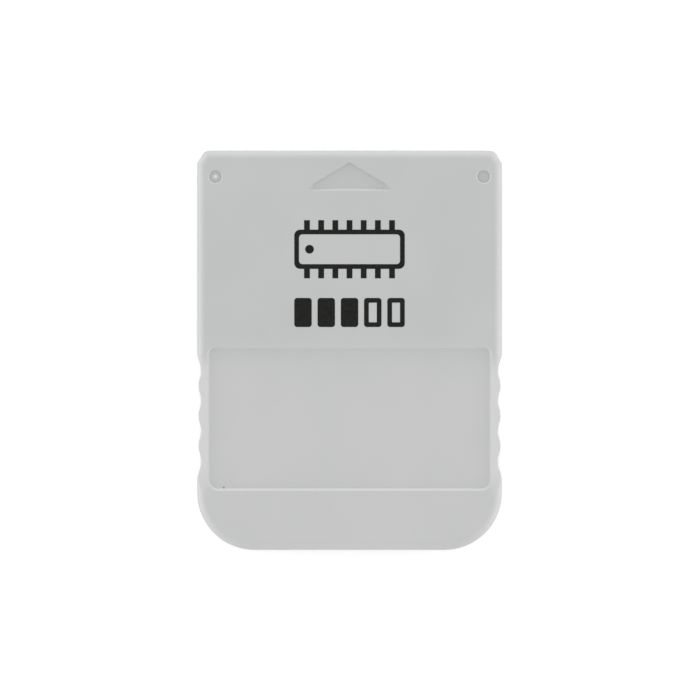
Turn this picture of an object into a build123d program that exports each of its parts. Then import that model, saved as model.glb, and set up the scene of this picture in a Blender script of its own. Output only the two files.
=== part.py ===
from build123d import *
from math import asin, atan2, cos, hypot, radians, sin, tan
import os

# Console memory card: two moulded shells closed round a small circuit board.
# It lies on its back: X runs across, Y along it with the connector end at +Y, Z up through the front.
# Millimetres, with the origin in the middle of the back face.

# Card envelope
card_width = 42.0
card_length = 55.0
card_thickness = 8.0
edge_radius = 1.2           # rounding of the front edge
back_chamfer = 0.7          # chamfer of the back edge
parting_height = 4.0        # where the two shells meet, above the back face
parting_chamfer = 0.12      # each shell's share of the V along the parting line

# Outline at the connector end and at the tail
nose_chamfer_width = 1.05
nose_chamfer_length = 1.7
nose_corner_radius = 1.0    # where the chamfer meets the nose
tail_corner_radius = 7.9

# Recesses in the front face
recess_angle = 52.0         # lean of the label's walls, the arrow's base and the marks' rims
steep_angle = 15.0          # lean of the arrow's slanting sides

# Label recess, by its floor
label_margin = 1.76         # card side to the floor
label_length = 19.25
label_from_tail = 8.5       # lower edge to the tail
label_depth = 0.25
label_upper_corner = 0.8
label_lower_corner = 1.1

# Finger grips down both long sides, beside the label
grip_inset = 0.87           # from the label's ends
grip_run_in = 2.2           # kink to the first valley
grip_run_out = 2.9          # last valley back to the plain side
grip_valleys = 4
grip_valley_depth = 0.52
grip_crest_depth = 0.19

# Flat bevels on the front, between the label and the grips
bevel_angle = 27.0
bevel_inset = 2.6           # label's ends to where the bevel has its full depth
bevel_run_in = 2.4          # lengths over which it fades out
bevel_run_out = 4.2
bevel_lift = 0.05           # where its cutter leaves the front face
bevel_overlap = 0.05        # how far the bevel starts inside the label's floor

# Arrow recess that points to the connector end, by its outline in the front face
arrow_width = 13.2          # before its corners are rounded
arrow_height = 3.95
arrow_from_nose = 1.6
arrow_corner = 0.35
arrow_depth = 0.25

# Round mould marks over the nose pins, by their floor
mark_diameter = 1.65
mark_depth = 0.3
mark_rim_depth = 0.15       # of the dished rim
gate_diameter = 0.8         # gate stub in the left mark
gate_tip_diameter = 0.2
gate_height = 0.25

# Shell walls
front_wall = 1.5
back_wall = 1.5
side_wall = 2.15            # card side to board pocket
nose_block_length = 6.0     # solid corners beside the connector mouth
nose_block_width = 4.3
mouth_lead_in = 0.25        # depth of the lead-in round the connector mouth
lead_in_angle = 45.0
lip_thickness = 0.8
lip_height = 0.8
lip_clearance = 0.1
lip_nose_gap = 1.5          # the lip stops this far short of the nose blocks

# Locating pins of the back shell and their sockets in the front shell
pin_diameter = 1.6
pin_grip = 1.5              # length of a pin inside its socket
pin_tip_chamfer = 0.3
socket_clearance = 0.05     # all round a pin
socket_spare = 0.2          # past the end of a pin
boss_diameter = 3.4
nose_pin_from_side = 2.55
nose_pin_from_nose = 3.6
tail_pin_from_side = 6.5
tail_pin_from_tail = 9.0

# Circuit board
board_thickness = 1.2
board_clearance = 0.25      # all round, in its pocket
board_lift = 1.0            # gap under the board
board_nose_inset = 1.3      # board edge behind the connector end
board_ledge = 1.5           # width of the seat under the board's rim
board_hole_clearance = 0.15 # round a pin
stay_width = 1.0            # cross ribs under the board
stay_spacing = 16.0
stay_count = 2

# Plated contact fingers, in groups that the mouth's dividers set apart
finger_counts = (2, 3, 3)
finger_margin = 0.6         # board side to the first finger's share of the width
finger_width = 2.5
finger_length = 7.0
finger_thickness = 0.08
finger_setback = 0.4
divider_width = 0.9
divider_length = 6.5
divider_setback = 0.35

# Memory chip in a gull-wing package
chip_length = 20.6
chip_width = 11.3
chip_height = 1.6
chip_standoff = 0.15
chip_angle = 7.0            # lean of its sides
chip_from_nose = 20.0       # connector end to the chip's middle
lead_pitch = 1.27
lead_width = 0.42
lead_thickness = 0.2
lead_reach = 1.4            # chip's side to the lead's tip
lead_foot = 0.7
lead_shoulder = 0.35

# Epoxy cast over the controller die
glob_width = 8.8            # across its flat top
glob_length = 6.8
glob_height = 1.4
glob_corner = 1.4
glob_angle = 38.0           # lean of its sides
glob_left = 5.0             # its middle, left of the card's
glob_from_nose = 36.0

# Chip capacitors and resistors, in two rows beside the epoxy
passive_count = 4
passive_pitch = 3.2
passive_length = 2.0
passive_width = 1.25
capacitor_height = 0.9
resistor_height = 0.55
passive_from_side = 5.9     # card side to the outermost pieces
passive_from_nose = 33.0    # connector end to the capacitors
passive_row_gap = 4.0       # capacitors to resistors

# Places that follow from the sizes above
half_width = card_width / 2
nose_y = card_length / 2
tail_y = -card_length / 2
front_ceiling = card_thickness - front_wall
board_bottom = back_wall + board_lift
board_top = board_bottom + board_thickness
board_nose = nose_y - board_nose_inset
half_mouth = half_width - nose_block_width
half_label = half_width - label_margin
label_top = tail_y + label_from_tail + label_length
grip_pitch = (label_length - 2 * grip_inset - grip_run_in - grip_run_out) / (grip_valleys - 1)
bevel_length = label_length - 2 * bevel_inset
finger_count = sum(finger_counts)
finger_pitch = 2 * (half_mouth - board_clearance - finger_margin) / finger_count
nose_pins = [(side * (half_width - nose_pin_from_side), nose_y - nose_pin_from_nose) for side in (-1, 1)]
tail_pins = [(side * (half_width - tail_pin_from_side), tail_y + tail_pin_from_tail) for side in (-1, 1)]
pin_radius = pin_diameter / 2
socket_radius = pin_radius + socket_clearance
boss_radius = boss_diameter / 2
chip_y = nose_y - chip_from_nose
chip_middle = board_top + chip_standoff + chip_height / 2
resistor_from_nose = passive_from_nose + passive_row_gap


def s_curve(start, end):
    """Two equal arcs that leave start and reach end running straight down the card's side."""
    middle = (start + end) / 2
    first = TangentArc(start, middle, tangent=(0, -1))
    return [first, TangentArc(middle, end, tangent=first % 1)]


def right_side():
    """The card's right edge, from the nose chamfer down through the grips to the tail."""
    kink = Vector(half_width, label_top - grip_inset)
    swing = grip_valley_depth - grip_crest_depth
    wave_radius = ((grip_pitch / 2) ** 2 + swing**2) / (4 * swing)
    run_in_angle = atan2(grip_valley_depth - wave_radius, grip_run_in) + asin(
        wave_radius / hypot(grip_run_in, wave_radius - grip_valley_depth)
    )

    valley = kink - Vector(grip_valley_depth, grip_run_in)
    touch = valley + Vector(wave_radius * (1 - cos(run_in_angle)), wave_radius * sin(run_in_angle))
    chamfer_end = Vector(half_width, nose_y - nose_chamfer_length)
    edges = [
        Line((half_width - nose_chamfer_width, nose_y), chamfer_end),
        Line(chamfer_end, kink),
        Line(kink, touch),
        TangentArc(touch, valley, tangent=touch - kink),
    ]
    for _ in range(grip_valleys - 1):
        crest = valley + Vector(swing, -grip_pitch / 2)
        edges += s_curve(valley, crest)
        valley = valley - Vector(0, grip_pitch)
        edges += s_curve(crest, valley)
    grip_end = valley + Vector(grip_valley_depth, -grip_run_out)
    corner_start = Vector(half_width, tail_y + tail_corner_radius)
    corner_end = Vector(half_width - tail_corner_radius, tail_y)
    edges += s_curve(valley, grip_end)
    edges += [Line(grip_end, corner_start), TangentArc(corner_start, corner_end, tangent=(0, -1))]
    return edges


def card_outline():
    """Plan of the card, the same for both shells."""
    right = Wire(right_side())
    left = right.mirror(Plane.YZ)
    half_nose = half_width - nose_chamfer_width
    half_tail = half_width - tail_corner_radius
    nose = Line((-half_nose, nose_y), (half_nose, nose_y))
    tail = Line((-half_tail, tail_y), (half_tail, tail_y))
    plan = make_face(right.edges() + left.edges() + [nose, tail])
    return fillet(plan.vertices().group_by(Axis.Y)[-1], nose_corner_radius)


def tray_outline(gap, nose):
    """Plan of the board, grown by gap at its sides, shoulders and tail, with its tongue ending at nose."""
    half_body = half_width - side_wall - board_clearance + gap
    half_tongue = half_mouth - board_clearance + gap
    shoulder = nose_y - nose_block_length - board_clearance + gap
    tail = tail_y + side_wall + board_clearance - gap
    corner_radius = tail_corner_radius - side_wall - board_clearance + gap
    body = Pos(0, (shoulder + tail) / 2) * Rectangle(2 * half_body, shoulder - tail)
    body = fillet(body.vertices().group_by(Axis.Y)[0], corner_radius)
    tongue = Pos(0, nose / 2) * Rectangle(2 * half_tongue, nose)
    return body + tongue


def prism(plan, bottom, top):
    """A plan drawn upright between two heights."""
    return extrude(Pos(0, 0, bottom) * plan, top - bottom)


def column(places, radius, bottom, top):
    """Upright cylinders at the places given."""
    return [Pos(x, y, (bottom + top) / 2) * Cylinder(radius, top - bottom) for x, y in places]


def lip_ring(thickness):
    """Plan of the strip along the board pocket that the two shells overlap on."""
    outside = tray_outline(board_clearance + thickness, board_nose)
    inside = tray_outline(board_clearance, nose_y)
    lip_end = nose_y - nose_block_length - lip_nose_gap
    span = Pos(0, (lip_end + tail_y) / 2) * Rectangle(card_width, lip_end - tail_y)
    return (outside - inside) & span


def bevel_section(side, y, height, drop):
    """Section of a bevel's cutter: all above a line that falls by drop from the label to past the side."""
    inner = side * (half_label - bevel_overlap)
    outer = side * (half_width + label_margin)
    top = card_thickness + front_wall
    corners = [(inner, y, height), (outer, y, height - drop), (outer, y, top), (inner, y, top)]
    return make_face(Polyline(corners, close=True))


def bevel_cutter(side):
    """Runner that cuts one side's bevel and fades out of the front face at each end."""
    upper = label_top - bevel_inset
    lower = upper - bevel_length
    clear = card_thickness + bevel_lift
    drop = (2 * label_margin + bevel_overlap) * tan(radians(bevel_angle))
    sections = [
        bevel_section(side, upper + bevel_run_in, clear, 0),
        bevel_section(side, upper, card_thickness, drop),
        bevel_section(side, lower, card_thickness, drop),
        bevel_section(side, lower - bevel_run_out, clear, 0),
    ]
    return loft(sections, ruled=True)


def label_plan():
    """Floor of the label recess."""
    plan = Pos(0, label_top - label_length / 2) * Rectangle(2 * half_label, label_length)
    plan = fillet(plan.vertices().group_by(Axis.Y)[-1], label_upper_corner)
    return fillet(plan.vertices().group_by(Axis.Y)[0], label_lower_corner)


def sunk(plan, depth, angle):
    """Cutter for a recess in the front face, from the plan of its floor and the lean of its walls."""
    return extrude(Pos(0, 0, card_thickness - depth) * plan, depth, taper=-angle)


def arrow_plan(depth):
    """Outline of the arrow at a depth: its slanting sides close in less than its base does."""
    slope = atan2(arrow_height, arrow_width / 2)
    tip = nose_y - arrow_from_nose - depth * tan(radians(steep_angle)) / cos(slope)
    base = nose_y - arrow_from_nose - arrow_height + depth * tan(radians(recess_angle))
    half_base = (tip - base) / tan(slope)
    plan = make_face(Polyline((0, tip), (half_base, base), (-half_base, base), close=True))
    return Pos(0, 0, card_thickness - depth) * fillet(plan.vertices(), arrow_corner)


def mark_cutter(x, y):
    """Cutter for a mould mark: a straight round pocket with a dished rim."""
    plan = Pos(x, y) * Circle(mark_diameter / 2)
    return sunk(plan, mark_depth, 0) + sunk(plan, mark_rim_depth, recess_angle)


def gate_stub(x, y):
    """Pointed stub left by the mould's gate on a mark's floor."""
    middle = card_thickness - mark_depth + gate_height / 2
    return Pos(x, y, middle) * Cone(gate_diameter / 2, gate_tip_diameter / 2, gate_height)


def mouth_flare():
    """Cutter for the lead-in round the connector mouth, which runs through both shells."""
    height = front_ceiling - board_bottom
    spread = mouth_lead_in * tan(radians(lead_in_angle))
    rim = Rectangle(2 * (half_mouth + spread), height + 2 * spread)
    opening = Plane((0, nose_y, board_bottom + height / 2), x_dir=(1, 0, 0), z_dir=(0, -1, 0))
    return extrude(opening * rim, mouth_lead_in, taper=lead_in_angle)


def front_shell():
    """Front half: grips, bevels and recesses outside, sockets and mouth dividers inside."""
    body = prism(card_outline(), parting_height, card_thickness)
    body = fillet(body.faces().sort_by(Axis.Z)[-1].edges(), edge_radius)
    body = chamfer(body.faces().sort_by(Axis.Z)[0].edges(), parting_chamfer)
    body -= [bevel_cutter(side) for side in (-1, 1)]
    body -= sunk(label_plan(), label_depth, recess_angle)
    body -= loft([arrow_plan(0), arrow_plan(arrow_depth)], ruled=True)
    body -= [mark_cutter(x, y) for x, y in nose_pins]
    body += gate_stub(*nose_pins[0])

    body -= prism(tray_outline(board_clearance, nose_y), parting_height, front_ceiling)
    groove_top = parting_height + lip_height + lip_clearance
    body -= prism(lip_ring(lip_thickness + lip_clearance), parting_height, groove_top)
    body -= mouth_flare()
    body += mouth_dividers()
    body += column(tail_pins, boss_radius, board_top, front_ceiling)
    reach = pin_grip + socket_spare
    body -= column(nose_pins, socket_radius, parting_height, parting_height + reach)
    body -= column(tail_pins, socket_radius, board_top, board_top + reach)
    return body


def mouth_dividers():
    """Ribs that hang in the connector mouth between the finger groups and hold the board down."""
    ribs = []
    passed = 0
    end = nose_y - divider_setback
    for group in finger_counts[:-1]:
        passed += group
        x = (passed - finger_count / 2) * finger_pitch
        plan = Pos(x, end - divider_length / 2) * Rectangle(divider_width, divider_length)
        ribs.append(prism(plan, board_top, front_ceiling))
    return ribs


def back_shell():
    """Back half: plain outside, with the board's seat, the lip and the locating pins inside."""
    body = prism(card_outline(), 0, parting_height)
    body = chamfer(body.faces().sort_by(Axis.Z)[0].edges(), back_chamfer)
    body = chamfer(body.faces().sort_by(Axis.Z)[-1].edges(), parting_chamfer)
    body -= prism(tray_outline(board_clearance, nose_y), board_bottom, parting_height)
    body -= mouth_flare()
    body -= prism(tray_outline(-board_ledge, board_nose - board_ledge), back_wall, board_bottom)
    body += prism(lip_ring(lip_thickness), parting_height, parting_height + lip_height)

    half_stay = half_width - side_wall - board_ledge
    for row in range(stay_count):
        y = (row - (stay_count - 1) / 2) * stay_spacing
        body += prism(Pos(0, y) * Rectangle(2 * half_stay, stay_width), back_wall, board_bottom)
    body += column(tail_pins, boss_radius, back_wall, board_bottom)
    body += locating_pins(tail_pins, board_bottom, board_top + pin_grip)
    body += locating_pins(nose_pins, parting_height, parting_height + pin_grip)
    return body


def locating_pins(places, bottom, top):
    """Pins with a lead-in at the tip."""
    return [chamfer(pin.faces().sort_by(Axis.Z)[-1].edges(), pin_tip_chamfer)
            for pin in column(places, pin_radius, bottom, top)]


def circuit_board():
    """Board with a tongue for the contacts and a hole for each tail pin."""
    board = prism(tray_outline(0, board_nose), board_bottom, board_top)
    return board - column(tail_pins, pin_radius + board_hole_clearance, board_bottom, board_top)


def contact_fingers():
    """Plated fingers side by side at the end of the tongue."""
    y = board_nose - finger_setback - finger_length / 2
    fingers = []
    for index in range(finger_count):
        x = (index - (finger_count - 1) / 2) * finger_pitch
        plan = Pos(x, y) * Rectangle(finger_width, finger_length)
        fingers.append(prism(plan, board_top, board_top + finger_thickness))
    return fingers


def memory_chip():
    """Moulded body, drafted both ways from the plane of its leads."""
    plan = Pos(0, chip_y, chip_middle) * Rectangle(chip_length, chip_width)
    body = extrude(plan, chip_height / 2, taper=chip_angle)
    return body + extrude(plan, -chip_height / 2, taper=chip_angle)


def memory_chip_leads():
    """Gull-wing leads along both long sides of the chip."""
    root = chip_width / 2
    tip = root + lead_reach
    bend = root + lead_shoulder
    heel = tip - lead_foot
    upper = chip_middle - board_top + lead_thickness / 2
    lower = upper - lead_thickness
    side_view = Polyline(
        (root, upper),
        (bend, upper),
        (heel, lead_thickness),
        (tip, lead_thickness),
        (tip, 0),
        (heel - lead_thickness, 0),
        (bend - lead_thickness, lower),
        (root, lower),
        close=True,
    )
    lead = extrude(Plane.YZ * make_face(side_view), lead_width / 2, both=True)
    row = GridLocations(lead_pitch, 0, int(chip_length / lead_pitch), 1)
    leads = [Pos(0, chip_y, board_top) * place * lead for place in row]
    leads += [Pos(0, chip_y, board_top) * place * Rot(0, 0, 180) * lead for place in row]
    return Compound(leads)


def controller_glob_top():
    """Low pad of epoxy with sloping sides."""
    top = RectangleRounded(glob_width, glob_length, glob_corner)
    pad = extrude(top, -glob_height, taper=-glob_angle)
    return Pos(-glob_left, nose_y - glob_from_nose, board_top + glob_height) * pad


def passive_row(height, from_nose):
    """Chip parts of one kind, side by side on the board."""
    row = []
    for index in range(passive_count):
        x = half_width - passive_from_side - index * passive_pitch
        plan = Pos(x, nose_y - from_nose) * Rectangle(passive_width, passive_length)
        row.append(prism(plan, board_top, board_top + height))
    return row


pieces = {
    "front_shell": front_shell(),
    "back_shell": back_shell(),
    "circuit_board": circuit_board(),
    "memory_chip": memory_chip(),
    "memory_chip_leads": memory_chip_leads(),
    "controller_glob_top": controller_glob_top(),
}
for number, finger in enumerate(contact_fingers(), 1):
    pieces[f"contact_finger_{number}"] = finger
for number, capacitor in enumerate(passive_row(capacitor_height, passive_from_nose), 1):
    pieces[f"capacitor_{number}"] = capacitor
for number, resistor in enumerate(passive_row(resistor_height, resistor_from_nose), 1):
    pieces[f"resistor_{number}"] = resistor

os.makedirs("parts", exist_ok=True)
for name, piece in pieces.items():
    export_step(piece, f"parts/{name}.step")
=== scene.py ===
import math

import bmesh
import bpy
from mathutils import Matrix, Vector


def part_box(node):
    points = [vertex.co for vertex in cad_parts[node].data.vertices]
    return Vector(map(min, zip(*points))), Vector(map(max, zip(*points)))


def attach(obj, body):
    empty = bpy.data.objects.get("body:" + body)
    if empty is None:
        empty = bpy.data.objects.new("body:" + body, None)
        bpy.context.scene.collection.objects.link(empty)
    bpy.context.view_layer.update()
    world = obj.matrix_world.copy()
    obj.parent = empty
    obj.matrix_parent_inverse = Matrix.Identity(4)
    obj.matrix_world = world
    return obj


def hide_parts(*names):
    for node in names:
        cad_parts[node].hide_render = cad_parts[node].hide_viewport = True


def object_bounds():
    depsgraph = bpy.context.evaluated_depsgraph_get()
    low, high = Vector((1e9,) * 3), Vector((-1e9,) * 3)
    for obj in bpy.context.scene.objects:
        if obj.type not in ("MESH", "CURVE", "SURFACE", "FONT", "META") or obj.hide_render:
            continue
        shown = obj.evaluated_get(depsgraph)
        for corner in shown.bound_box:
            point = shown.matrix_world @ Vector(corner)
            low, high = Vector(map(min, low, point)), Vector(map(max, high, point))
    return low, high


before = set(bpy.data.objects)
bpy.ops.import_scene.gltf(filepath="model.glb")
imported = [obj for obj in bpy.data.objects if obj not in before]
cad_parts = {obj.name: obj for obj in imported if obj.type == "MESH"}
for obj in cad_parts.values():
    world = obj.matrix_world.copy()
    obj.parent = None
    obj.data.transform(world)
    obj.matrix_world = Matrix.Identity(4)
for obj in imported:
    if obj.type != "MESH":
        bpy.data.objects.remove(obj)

mm = 0.001
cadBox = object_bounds()                       # the CAD box, before anything is dressed
cardLow, cardHigh = cadBox
frontFace = cardHigh.z
scene = bpy.context.scene
scene.view_settings.view_transform = "Standard"
print("frame loaded:", len(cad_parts), "nodes")


# small helpers for node trees

def addNode(tree, kind, inputs=None, **settings):
    node = tree.nodes.new(kind)
    for name, value in settings.items():
        setattr(node, name, value)
    for name, value in (inputs or {}).items():
        plug(tree, value, node.inputs[name])
    return node


def plug(tree, value, socket):
    if isinstance(value, bpy.types.NodeSocket):
        tree.links.new(value, socket)
    else:
        socket.default_value = value


def reckon(tree, operation, *values):
    return addNode(tree, "ShaderNodeMath", dict(enumerate(values)), operation=operation).outputs[0]


def reckonVector(tree, operation, *values):
    node = addNode(tree, "ShaderNodeVectorMath", dict(enumerate(values)), operation=operation)
    return node.outputs["Value" if operation in ("DISTANCE", "LENGTH") else "Vector"]


def newMaterial(name):
    material = bpy.data.materials.new(name)
    material.use_nodes = True
    tree = material.node_tree
    return material, tree, tree.nodes["Principled BSDF"]


def objectCoords(tree):
    return addNode(tree, "ShaderNodeTexCoord").outputs["Object"]


def axisOf(tree, vector, axis):
    return addNode(tree, "ShaderNodeSeparateXYZ", {"Vector": vector}).outputs[axis]


def stretched(tree, coords, scale):
    return addNode(tree, "ShaderNodeMapping", {"Vector": coords, "Scale": scale}).outputs["Vector"]


def noise(tree, coords, size, detail=2.0, rough=0.5):
    inputs = {"Vector": coords, "Scale": 1 / size, "Detail": detail, "Roughness": rough}
    return addNode(tree, "ShaderNodeTexNoise", inputs).outputs["Fac"]


def remap(tree, value, fromLow, fromHigh, toLow, toHigh):
    inputs = {"Value": value, "From Min": fromLow, "From Max": fromHigh, "To Min": toLow, "To Max": toHigh}
    return addNode(tree, "ShaderNodeMapRange", inputs).outputs["Result"]


def patches(tree, coords, size, spread, detail=2.0):    # noise whose middle spread covers 0 to 1
    fac = noise(tree, coords, size, detail)
    return remap(tree, fac, 0.5 - spread / 2, 0.5 + spread / 2, 0.0, 1.0)


def spot(tree, coords, middle, reach):                  # 1 at its middle, fading to 0 at its reach
    return remap(tree, reckonVector(tree, "DISTANCE", coords, middle), reach / 2, reach, 1.0, 0.0)


def band(tree, value, low, high, fade):                 # 1 from low to high, fading to 0 outside
    half = (high - low) / 2
    away = reckon(tree, "ABSOLUTE", reckon(tree, "SUBTRACT", value, (low + high) / 2))
    return remap(tree, away, half, half + fade, 1.0, 0.0)


def blendColours(tree, factor, first, second, way="MIX"):
    node = addNode(tree, "ShaderNodeMix", data_type="RGBA", blend_type=way)
    for name, value in (("Factor_Float", factor), ("A_Color", first), ("B_Color", second)):
        plug(tree, value, next(s for s in node.inputs if s.identifier == name))
    return next(s for s in node.outputs if s.identifier == "Result_Color")


def bump(tree, height, depth):
    return addNode(tree, "ShaderNodeBump", {"Height": height, "Distance": depth}).outputs["Normal"]


# materials

shellFinish = {
    "pale": (0.565, 0.566, 0.566, 1.0),
    "deep": (0.545, 0.55, 0.549, 1.0),
    "cloudSize": 9 * mm,                   # faint mottling of the moulding
    "cloudSpread": 0.4,
    "cloudDetail": 3.0,
    "noseTone": (0.949, 0.963, 0.9555, 1.0),    # the nose half is a shade darker than the tail half
    "noseToneFrom": -5 * mm,               # up from the card's middle
    "noseToneFull": 3 * mm,
    "speck": (0.22, 0.22, 0.22, 1.0),      # dirt against the label's lower rim
    "speckAt": (-17.31 * mm, -18.88 * mm, frontFace - 0.25 * mm),
    "speckReach": 0.17 * mm,
    "gateHighlight": (0.72, 0.72, 0.71, 1.0),  # painted highlight on the stub in the left mark
    "gateAt": (cardLow.x + 2.55 * mm, cardHigh.y - 3.6 * mm, frontFace - 0.1 * mm),
    "gateReach": 0.5 * mm,
    "grainSize": 0.16 * mm,                # spark-eroded grain
    "grainDepth": 0.004 * mm,
    "grainDetail": 2.0,
    "grainRough": 0.6,
    "satinSize": 2.25 * mm,                # roughness wanders a little
    "satinLow": 0.4,
    "satinHigh": 0.5,
}


wallShadeFinish = {
    "shade": (0.88, 0.88, 0.88, 1.0),      # painted shade on the label's side walls
    "middle": (0.0, cardLow.y + 18.125 * mm, 0.0),    # of the label
    "halfWidth": cardHigh.x - 1.76 * mm,
    "halfLength": 9.625 * mm,
    "corner": 0.95 * mm,
    "wallFrom": 0.01 * mm,                 # out from the floor's edge
    "wallTo": 0.17 * mm,
    "fade": 0.07 * mm,
    "lowest": frontFace - 0.5 * mm,        # nothing is shaded below this
}


def labelWallShade(tree, coords):                # mask of the painted shade: 1 on the side walls, fading out round the corners
    cfg = wallShadeFinish
    corner = cfg["corner"]
    block = (cfg["halfWidth"] - corner, cfg["halfLength"] - corner, cfg["lowest"])
    away = reckonVector(tree, "ABSOLUTE", reckonVector(tree, "SUBTRACT", coords, cfg["middle"]))
    past = reckonVector(tree, "MAXIMUM", reckonVector(tree, "SUBTRACT", away, block), (0.0, 0.0, 0.0))
    inPlan = reckonVector(tree, "LENGTH", reckonVector(tree, "MULTIPLY", past, (1.0, 1.0, 0.0)))
    wall = band(tree, inPlan, corner + cfg["wallFrom"], corner + cfg["wallTo"], cfg["fade"])
    sideways = remap(tree, axisOf(tree, past, "X"), 0.0, corner, 0.0, 1.0)
    onFront = reckon(tree, "GREATER_THAN", axisOf(tree, past, "Z"), 0.0)
    return reckon(tree, "MULTIPLY", reckon(tree, "MULTIPLY", wall, sideways), onFront)


def shellPlastic():
    cfg = shellFinish
    material, tree, shader = newMaterial("shellPlastic")
    coords = objectCoords(tree)
    cloud = patches(tree, coords, cfg["cloudSize"], cfg["cloudSpread"], cfg["cloudDetail"])
    noseHalf = remap(tree, axisOf(tree, coords, "Y"), cfg["noseToneFrom"], cfg["noseToneFull"], 0.0, 1.0)
    # painted highlight on the tip of the gate stub
    gate = spot(tree, coords, cfg["gateAt"], cfg["gateReach"])
    dirt = spot(tree, coords, cfg["speckAt"], cfg["speckReach"])
    colour = blendColours(tree, cloud, cfg["deep"], cfg["pale"])
    colour = blendColours(tree, noseHalf, colour, cfg["noseTone"], "MULTIPLY")
    # painted shade darkens the label's side walls
    colour = blendColours(tree, labelWallShade(tree, coords), colour, wallShadeFinish["shade"], "MULTIPLY")
    colour = blendColours(tree, gate, colour, cfg["gateHighlight"])
    plug(tree, blendColours(tree, dirt, colour, cfg["speck"]), shader.inputs["Base Color"])
    satin = patches(tree, coords, cfg["satinSize"], cfg["cloudSpread"])
    plug(tree, remap(tree, satin, 0.0, 1.0, cfg["satinLow"], cfg["satinHigh"]), shader.inputs["Roughness"])
    grain = noise(tree, coords, cfg["grainSize"], cfg["grainDetail"], cfg["grainRough"])
    plug(tree, bump(tree, grain, cfg["grainDepth"]), shader.inputs["Normal"])
    return material


inkFinish = {
    "black": (0.007, 0.007, 0.0055, 1.0),
    "thin": (0.012, 0.012, 0.0105, 1.0),
    "patchSize": 0.5 * mm,
    "patchSpread": 0.3,
    "rough": 0.6,
    "shine": 0.15,
}


def printInk():
    cfg = inkFinish
    material, tree, shader = newMaterial("printInk")
    patchy = patches(tree, objectCoords(tree), cfg["patchSize"], cfg["patchSpread"])
    plug(tree, blendColours(tree, patchy, cfg["black"], cfg["thin"]), shader.inputs["Base Color"])
    shader.inputs["Roughness"].default_value = cfg["rough"]
    shader.inputs["Specular IOR Level"].default_value = cfg["shine"]
    return material


boardFinish = {
    "mask": (0.012, 0.1, 0.035, 1.0),
    "track": (0.02, 0.17, 0.06, 1.0),
    "trackPitch": 1.3 * mm,
    "trackWidth": 0.208 * mm,
    "trackRun": 11.7 * mm,
    "trackSoft": 0.2,
    "trackHeight": 0.02 * mm,
    "maskFrom": 0.5,                       # faces that look this much up or down carry the mask
    "laminate": (0.36, 0.32, 0.2, 1.0),    # layers of glass cloth on the sawn edge
    "resin": (0.2, 0.17, 0.09, 1.0),       # and what shows between them
    "layerSize": 0.16 * mm,
    "layerStretch": (0.08, 0.08, 1.0),
    "layerSpread": 0.3,
    "layerDetail": 3.0,
    "rough": 0.32,
}


def boardMask():
    cfg = boardFinish
    material, tree, shader = newMaterial("boardMask")
    coords = objectCoords(tree)
    bricks = addNode(tree, "ShaderNodeTexBrick", {
        "Vector": coords, "Scale": 1.0, "Mortar Size": cfg["trackWidth"], "Mortar Smooth": cfg["trackSoft"],
        "Brick Width": cfg["trackRun"], "Row Height": cfg["trackPitch"],
    }).outputs["Fac"]
    tracks = blendColours(tree, bricks, cfg["mask"], cfg["track"])
    cloth = stretched(tree, coords, cfg["layerStretch"])
    layers = patches(tree, cloth, cfg["layerSize"], cfg["layerSpread"], cfg["layerDetail"])
    edge = blendColours(tree, layers, cfg["resin"], cfg["laminate"])
    normal = addNode(tree, "ShaderNodeNewGeometry").outputs["True Normal"]
    facing = reckon(tree, "ABSOLUTE", axisOf(tree, normal, "Z"))
    masked = reckon(tree, "GREATER_THAN", facing, cfg["maskFrom"])
    plug(tree, blendColours(tree, masked, edge, tracks), shader.inputs["Base Color"])
    plug(tree, bump(tree, bricks, cfg["trackHeight"]), shader.inputs["Normal"])
    shader.inputs["Roughness"].default_value = cfg["rough"]
    return material


metalFinishes = {
    "contactGold": {"pale": (1.0, 0.78, 0.36, 1.0), "deep": (0.9, 0.66, 0.28, 1.0), "rough": 0.42},
    "leadTin": {"pale": (0.72, 0.72, 0.71, 1.0), "deep": (0.58, 0.58, 0.58, 1.0), "rough": 0.34},
}
wipeFinish = {"size": 2.4 * mm, "stretch": (8.0, 1.0, 1.0), "detail": 4.0, "depth": 0.004 * mm}


def platedMetal(name):
    cfg = metalFinishes[name]
    material, tree, shader = newMaterial(name)
    alongCard = stretched(tree, objectCoords(tree), wipeFinish["stretch"])
    wiped = noise(tree, alongCard, wipeFinish["size"], wipeFinish["detail"])   # marks of plugging in
    plug(tree, blendColours(tree, wiped, cfg["deep"], cfg["pale"]), shader.inputs["Base Color"])
    plug(tree, bump(tree, wiped, wipeFinish["depth"]), shader.inputs["Normal"])
    shader.inputs["Metallic"].default_value = 1.0
    shader.inputs["Roughness"].default_value = cfg["rough"]
    return material


epoxyFinish = {
    "black": (0.012, 0.012, 0.013, 1.0),
    "dust": (0.024, 0.024, 0.025, 1.0),
    "dustSize": 3 * mm,
    "dustDetail": 3.0,
    "grainSize": 0.12 * mm,
    "grainDepth": 0.006 * mm,
    "rough": 0.6,
}


def chipEpoxy():
    cfg = epoxyFinish
    material, tree, shader = newMaterial("chipEpoxy")
    coords = objectCoords(tree)
    cloud = noise(tree, coords, cfg["dustSize"], cfg["dustDetail"])
    plug(tree, blendColours(tree, cloud, cfg["black"], cfg["dust"]), shader.inputs["Base Color"])
    grain = noise(tree, coords, cfg["grainSize"])
    plug(tree, bump(tree, grain, cfg["grainDepth"]), shader.inputs["Normal"])
    shader.inputs["Roughness"].default_value = cfg["rough"]
    return material


ceramicFinishes = {
    "capacitorCeramic": {"body": (0.42, 0.28, 0.16, 1.0), "speck": (0.36, 0.23, 0.12, 1.0)},
    "resistorCeramic": {"body": (0.02, 0.02, 0.024, 1.0), "speck": (0.035, 0.035, 0.04, 1.0)},
}
chipPartFinish = {
    "speckSize": 0.2 * mm,
    "rough": 0.4,
    "capTin": (0.68, 0.68, 0.67, 1.0),     # the soldered cap at either end
    "capLength": 0.45 * mm,
}


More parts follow.
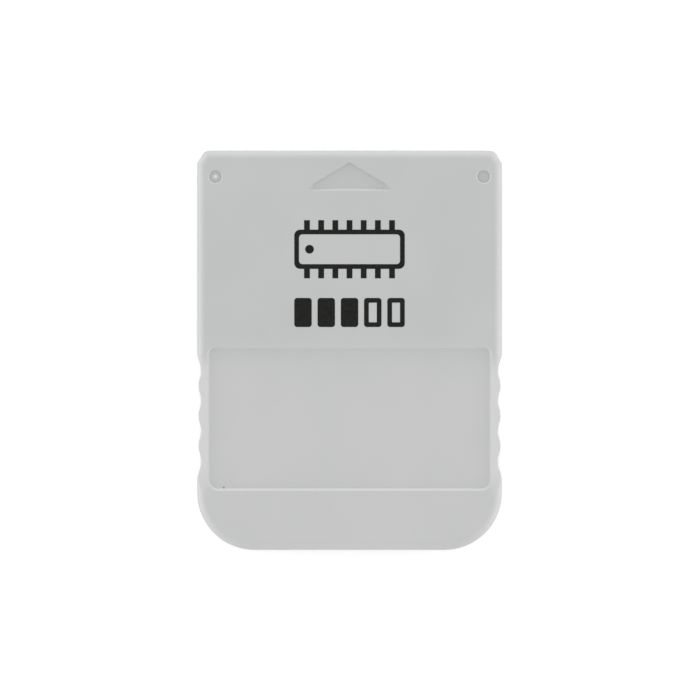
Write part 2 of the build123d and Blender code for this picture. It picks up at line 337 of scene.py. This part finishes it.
def chipPartCeramic(name, nodeName):
    cfg = ceramicFinishes[name]
    material, tree, shader = newMaterial(name)
    coords = objectCoords(tree)
    low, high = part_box(nodeName)
    bodyHalf = (high.y - low.y) / 2 - chipPartFinish["capLength"]
    away = reckon(tree, "SUBTRACT", axisOf(tree, coords, "Y"), (low.y + high.y) / 2)
    capped = reckon(tree, "GREATER_THAN", reckon(tree, "ABSOLUTE", away), bodyHalf)
    specks = noise(tree, coords, chipPartFinish["speckSize"])
    ceramic = blendColours(tree, specks, cfg["body"], cfg["speck"])
    plug(tree, blendColours(tree, capped, ceramic, chipPartFinish["capTin"]), shader.inputs["Base Color"])
    plug(tree, capped, shader.inputs["Metallic"])
    shader.inputs["Roughness"].default_value = chipPartFinish["rough"]
    return material


# turning modifiers and trees into plain meshes

def settle(piece):
    graph = bpy.context.evaluated_depsgraph_get()
    plain = bpy.data.meshes.new_from_object(piece.evaluated_get(graph), depsgraph=graph)
    piece.modifiers.clear()
    piece.data = plain


def newTree(name, sizes):
    tree = bpy.data.node_groups.new(name, "GeometryNodeTree")
    tree.interface.new_socket("Geometry", in_out="OUTPUT", socket_type="NodeSocketGeometry")
    for label, value in sizes.items():
        kind = "NodeSocketInt" if isinstance(value, int) else "NodeSocketFloat"
        tree.interface.new_socket(label, in_out="INPUT", socket_type=kind)
    return tree, addNode(tree, "NodeGroupInput").outputs


def gather(tree, *parts):
    join = addNode(tree, "GeometryNodeJoinGeometry")
    for part in parts:
        plug(tree, part, join.inputs[0])
    return join.outputs[0]


def endTree(tree, geometry, material):
    real = addNode(tree, "GeometryNodeRealizeInstances", {"Geometry": geometry}).outputs[0]
    dressed = addNode(tree, "GeometryNodeSetMaterial", {"Geometry": real, "Material": material}).outputs[0]
    addNode(tree, "NodeGroupOutput", {0: dressed})
    return tree


def growPiece(name, tree, sizes):
    piece = bpy.data.objects.new(name, bpy.data.meshes.new(name))
    scene.collection.objects.link(piece)
    maker = piece.modifiers.new(tree.name, "NODES")
    maker.node_group = tree
    for item in tree.interface.items_tree:
        if item.in_out == "INPUT":
            maker[item.identifier] = sizes[item.name]
    settle(piece)
    return piece


def dress(piece, material):
    piece.data.materials.clear()
    piece.data.materials.append(material)


# the two moulded shells

mouldingCfg = {"weldGap": 0.001 * mm, "creaseAngle": 25, "faceWeight": 100}


def smoothCopy(nodeName, pieceName):
    cfg = mouldingCfg
    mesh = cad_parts[nodeName].data.copy()
    if "custom_normal" in mesh.attributes:
        mesh.attributes.remove(mesh.attributes["custom_normal"])
    work = bmesh.new()
    work.from_mesh(mesh)
    bmesh.ops.remove_doubles(work, verts=work.verts, dist=cfg["weldGap"])
    for face in work.faces:
        face.smooth = True
    work.to_mesh(mesh)
    work.free()
    mesh.set_sharp_from_angle(angle=math.radians(cfg["creaseAngle"]))
    piece = bpy.data.objects.new(pieceName, mesh)
    scene.collection.objects.link(piece)
    even = piece.modifiers.new("evenShading", "WEIGHTED_NORMAL")
    even.keep_sharp = True
    even.weight = cfg["faceWeight"]
    settle(piece)
    return piece


plastic = shellPlastic()
for nodeName in ("front_shell", "back_shell"):
    shell = smoothCopy(nodeName, nodeName + "_moulding")
    dress(shell, plastic)
    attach(shell, "root")
    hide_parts(nodeName)
print("shells smoothed")


# board and its parts keep their CAD solids

epoxy = chipEpoxy()
gold = platedMetal("contactGold")
tin = platedMetal("leadTin")
capacitorSkin = chipPartCeramic("capacitorCeramic", "capacitor_1")
resistorSkin = chipPartCeramic("resistorCeramic", "resistor_1")
dress(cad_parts["circuit_board"], boardMask())
dress(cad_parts["memory_chip"], epoxy)
dress(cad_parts["controller_glob_top"], epoxy)
dress(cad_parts["memory_chip_leads"], tin)
for nodeName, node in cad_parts.items():
    if nodeName.startswith("contact_finger"):
        dress(node, gold)
    if nodeName.startswith("capacitor"):
        dress(node, capacitorSkin)
    if nodeName.startswith("resistor"):
        dress(node, resistorSkin)
print("board dressed")


# black print on the upper face: a chip sign over a row of memory blocks

printCfg = {
    "Chip Width": 15.2 * mm,
    "Chip Height": 5.4 * mm,
    "Chip Corner": 0.8 * mm,
    "Chip Middle": 13.9 * mm,              # up from the card's middle
    "Leg Count": 7,
    "Leg Pitch": 1.95 * mm,
    "Leg Width": 0.8 * mm,
    "Leg Length": 1.3 * mm,
    "Dot Radius": 0.6 * mm,
    "Dot Inset": 2.1 * mm,                 # from the chip's left end
    "Block Count": 5,
    "Filled Blocks": 3,
    "Block Pitch": 3.2 * mm,
    "Block Width": 2.4 * mm,
    "Block Height": 4.0 * mm,
    "Block Corner": 0.4 * mm,
    "Block Middle": 5.2 * mm,              # up from the card's middle
    "Stroke": 0.65 * mm,
    "Arc Steps": 6,
    "Film": 0.012 * mm,                    # ink standing on the plastic
    "Sunk": 0.01 * mm,                     # and a little below its surface
    "Weld": 0.001 * mm,
}


def printTree(ink):
    tree, size = newTree("printTree", printCfg)

    def calc(operation, first, second):
        return reckon(tree, operation, first, second)

    def half(value):
        return calc("MULTIPLY", value, 0.5)

    def place(x=0.0, y=0.0, z=0.0):
        return addNode(tree, "ShaderNodeCombineXYZ", {"X": x, "Y": y, "Z": z}).outputs[0]

    def move(geometry, to):
        inputs = {"Geometry": geometry, "Translation": to}
        return addNode(tree, "GeometryNodeTransform", inputs).outputs[0]

    def roundedBox(width, height, corner):
        quad = addNode(tree, "GeometryNodeCurvePrimitiveQuadrilateral", {"Width": width, "Height": height})
        return addNode(tree, "GeometryNodeFilletCurve", {
            "Curve": quad.outputs[0], "Count": size["Arc Steps"], "Radius": corner, "Limit Radius": True,
        }, mode="POLY").outputs[0]

    def fillCurves(*curves):
        inputs = {"Curve": gather(tree, *curves)}
        return addNode(tree, "GeometryNodeFillCurve", inputs, mode="NGONS").outputs[0]

    def frameBox(width, height, corner):   # a box drawn as an outline
        bothSides = calc("MULTIPLY", size["Stroke"], 2.0)
        inner = roundedBox(
            calc("SUBTRACT", width, bothSides), calc("SUBTRACT", height, bothSides),
            calc("SUBTRACT", corner, half(size["Stroke"])))
        return fillCurves(roundedBox(width, height, corner), inner)

    def spread(count, pitch, y):           # points across the card, centred
        span = calc("MULTIPLY", calc("SUBTRACT", count, 1.0), pitch)
        first = place(calc("MULTIPLY", span, -0.5), y)
        inputs = {"Count": count, "Start Location": first, "Offset": place(pitch)}
        return addNode(tree, "GeometryNodeMeshLine", inputs).outputs[0]

    def stamp(points, shape, selection=True):
        inputs = {"Points": points, "Instance": shape, "Selection": selection}
        return addNode(tree, "GeometryNodeInstanceOnPoints", inputs).outputs[0]

    # chip: outline, pin-one dot and two rows of legs
    outline = frameBox(size["Chip Width"], size["Chip Height"], size["Chip Corner"])
    circle = addNode(tree, "GeometryNodeCurvePrimitiveCircle", {"Radius": size["Dot Radius"]}).outputs[0]
    dot = move(fillCurves(circle), place(calc("SUBTRACT", size["Dot Inset"], half(size["Chip Width"]))))
    leg = addNode(tree, "GeometryNodeMeshGrid", {
        "Size X": size["Leg Width"], "Size Y": size["Leg Length"], "Vertices X": 2, "Vertices Y": 2,
    }).outputs[0]
    legRow = half(calc("ADD", size["Chip Height"], size["Leg Length"]))
    rows = gather(
        tree, spread(size["Leg Count"], size["Leg Pitch"], legRow),
        spread(size["Leg Count"], size["Leg Pitch"], calc("MULTIPLY", legRow, -1.0)))
    chip = move(gather(tree, outline, dot, stamp(rows, leg)), place(y=size["Chip Middle"]))

    # memory blocks: the first ones filled, the rest outlined
    blocks = spread(size["Block Count"], size["Block Pitch"], size["Block Middle"])
    number = addNode(tree, "GeometryNodeInputIndex").outputs[0]
    filled = calc("LESS_THAN", number, size["Filled Blocks"])
    hollow = calc("SUBTRACT", 1.0, filled)
    blockSize = (size["Block Width"], size["Block Height"], size["Block Corner"])
    full = stamp(blocks, fillCurves(roundedBox(*blockSize)), filled)
    empty = stamp(blocks, frameBox(*blockSize), hollow)

    # give the flat shapes the thickness of the ink
    shapes = gather(tree, chip, full, empty)
    flat = addNode(tree, "GeometryNodeRealizeInstances", {"Geometry": shapes}).outputs[0]
    flat = move(flat, place(z=calc("SUBTRACT", frontFace, size["Sunk"])))
    raised = addNode(tree, "GeometryNodeExtrudeMesh", {
        "Mesh": flat, "Offset Scale": calc("ADD", size["Film"], size["Sunk"]), "Individual": False,
    }).outputs[0]
    under = addNode(tree, "GeometryNodeFlipFaces", {"Mesh": flat}).outputs[0]
    closed = addNode(tree, "GeometryNodeMergeByDistance", {
        "Geometry": gather(tree, raised, under), "Distance": size["Weld"],
    }).outputs[0]
    return endTree(tree, closed, ink)


facePrint = growPiece("face_print", printTree(printInk()), printCfg)
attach(facePrint, "root")
print("print laid:", len(facePrint.data.polygons), "faces")


# floor, lights and camera

stageCfg = {
    "floorSize": 3.0,
    "floorDrop": 0.01 * mm,
    "bounce": (0.3, 0.3, 0.3, 1.0),        # what the card's sides see
    "seenGlow": 0.3,                       # what the camera sees: white, less a share of the shadow
    "seenShade": (0.95, 0.95, 0.95, 1.0),
    "white": (1.0, 1.0, 1.0, 1.0),
    "tentLight": 0.89,                     # what the tent gives the card
    "tentSeen": 1.0,                       # and how it looks
}


def seenRays(tree):
    path = addNode(tree, "ShaderNodeLightPath").outputs
    direct = reckon(tree, "MAXIMUM", path["Is Camera Ray"], path["Is Glossy Ray"])
    return reckon(tree, "MAXIMUM", direct, path["Is Transmission Ray"])


def makeFloor():
    cfg = stageCfg
    half = cfg["floorSize"] / 2
    corners = [(x * half, y * half, -cfg["floorDrop"]) for x, y in ((-1, -1), (1, -1), (1, 1), (-1, 1))]
    mesh = bpy.data.meshes.new("floor")
    mesh.from_pydata(corners, [], [(0, 1, 2, 3)])
    floor = bpy.data.objects.new("floor", mesh)
    scene.collection.objects.link(floor)
    material = bpy.data.materials.new("floorWhite")
    material.use_nodes = True
    tree = material.node_tree
    tree.nodes.clear()
    bounce = addNode(tree, "ShaderNodeBsdfDiffuse", {"Color": cfg["bounce"]}).outputs[0]
    shade = addNode(tree, "ShaderNodeBsdfDiffuse", {"Color": cfg["seenShade"]}).outputs[0]
    white = {"Color": cfg["white"], "Strength": cfg["seenGlow"]}
    glow = addNode(tree, "ShaderNodeEmission", white).outputs[0]
    seen = addNode(tree, "ShaderNodeAddShader", {0: glow, 1: shade}).outputs[0]
    mixed = addNode(tree, "ShaderNodeMixShader", {0: seenRays(tree), 1: bounce, 2: seen}).outputs[0]
    addNode(tree, "ShaderNodeOutputMaterial", {"Surface": mixed})
    dress(floor, material)


def makeWorld():
    cfg = stageCfg
    world = bpy.data.worlds.new("studio")
    scene.world = world
    world.use_nodes = True
    tree = world.node_tree
    tree.nodes.clear()
    tents = []
    for strength in (cfg["tentLight"], cfg["tentSeen"]):
        white = {"Color": cfg["white"], "Strength": strength}
        tents.append(addNode(tree, "ShaderNodeBackground", white).outputs[0])
    mixed = addNode(tree, "ShaderNodeMixShader", {0: seenRays(tree), 1: tents[0], 2: tents[1]}).outputs[0]
    addNode(tree, "ShaderNodeOutputWorld", {"Surface": mixed})


stripCfg = {
    "rise": 5,                             # degrees over the floor
    "distance": 0.6,
    "width": 0.9,
    "height": 0.12,
    "strips": {                            # degrees clockwise from the nose, watts
        "leftStrip": (270, 1.95),
        "rightStrip": (90, 1.95),
        "noseStrip": (0, 1.45),
        "tailStrip": (180, 0.3),
    },
}


def makeStrip(name):
    cfg = stripCfg
    turn, watts = cfg["strips"][name]
    data = bpy.data.lights.new(name, "AREA")
    data.shape = "RECTANGLE"
    data.size = cfg["width"]
    data.size_y = cfg["height"]
    data.energy = watts
    light = bpy.data.objects.new(name, data)
    around, up = math.radians(turn), math.radians(cfg["rise"])
    reach = cfg["distance"] * math.cos(up)
    light.location = (reach * math.sin(around), reach * math.cos(around), cfg["distance"] * math.sin(up))
    light.rotation_euler = (math.radians(90) - up, 0, math.radians(180) - around)
    light.visible_camera = False
    scene.collection.objects.link(light)


cameraCfg = {
    "sensor": 36.0,
    "lens": 298.7,
    "distance": 0.8,
    "aimHeight": 7 * mm,
    "offset": (0.067 * mm, 0.04 * mm),
}


def makeCamera():
    cfg = cameraCfg
    data = bpy.data.cameras.new("topView")
    data.sensor_width = cfg["sensor"]
    data.lens = cfg["lens"]
    camera = bpy.data.objects.new("topView", data)
    camera.location = (*cfg["offset"], cfg["aimHeight"] + cfg["distance"])
    scene.collection.objects.link(camera)
    scene.camera = camera


makeFloor()
makeWorld()
for stripName in stripCfg["strips"]:
    makeStrip(stripName)
makeCamera()
print("stage set")
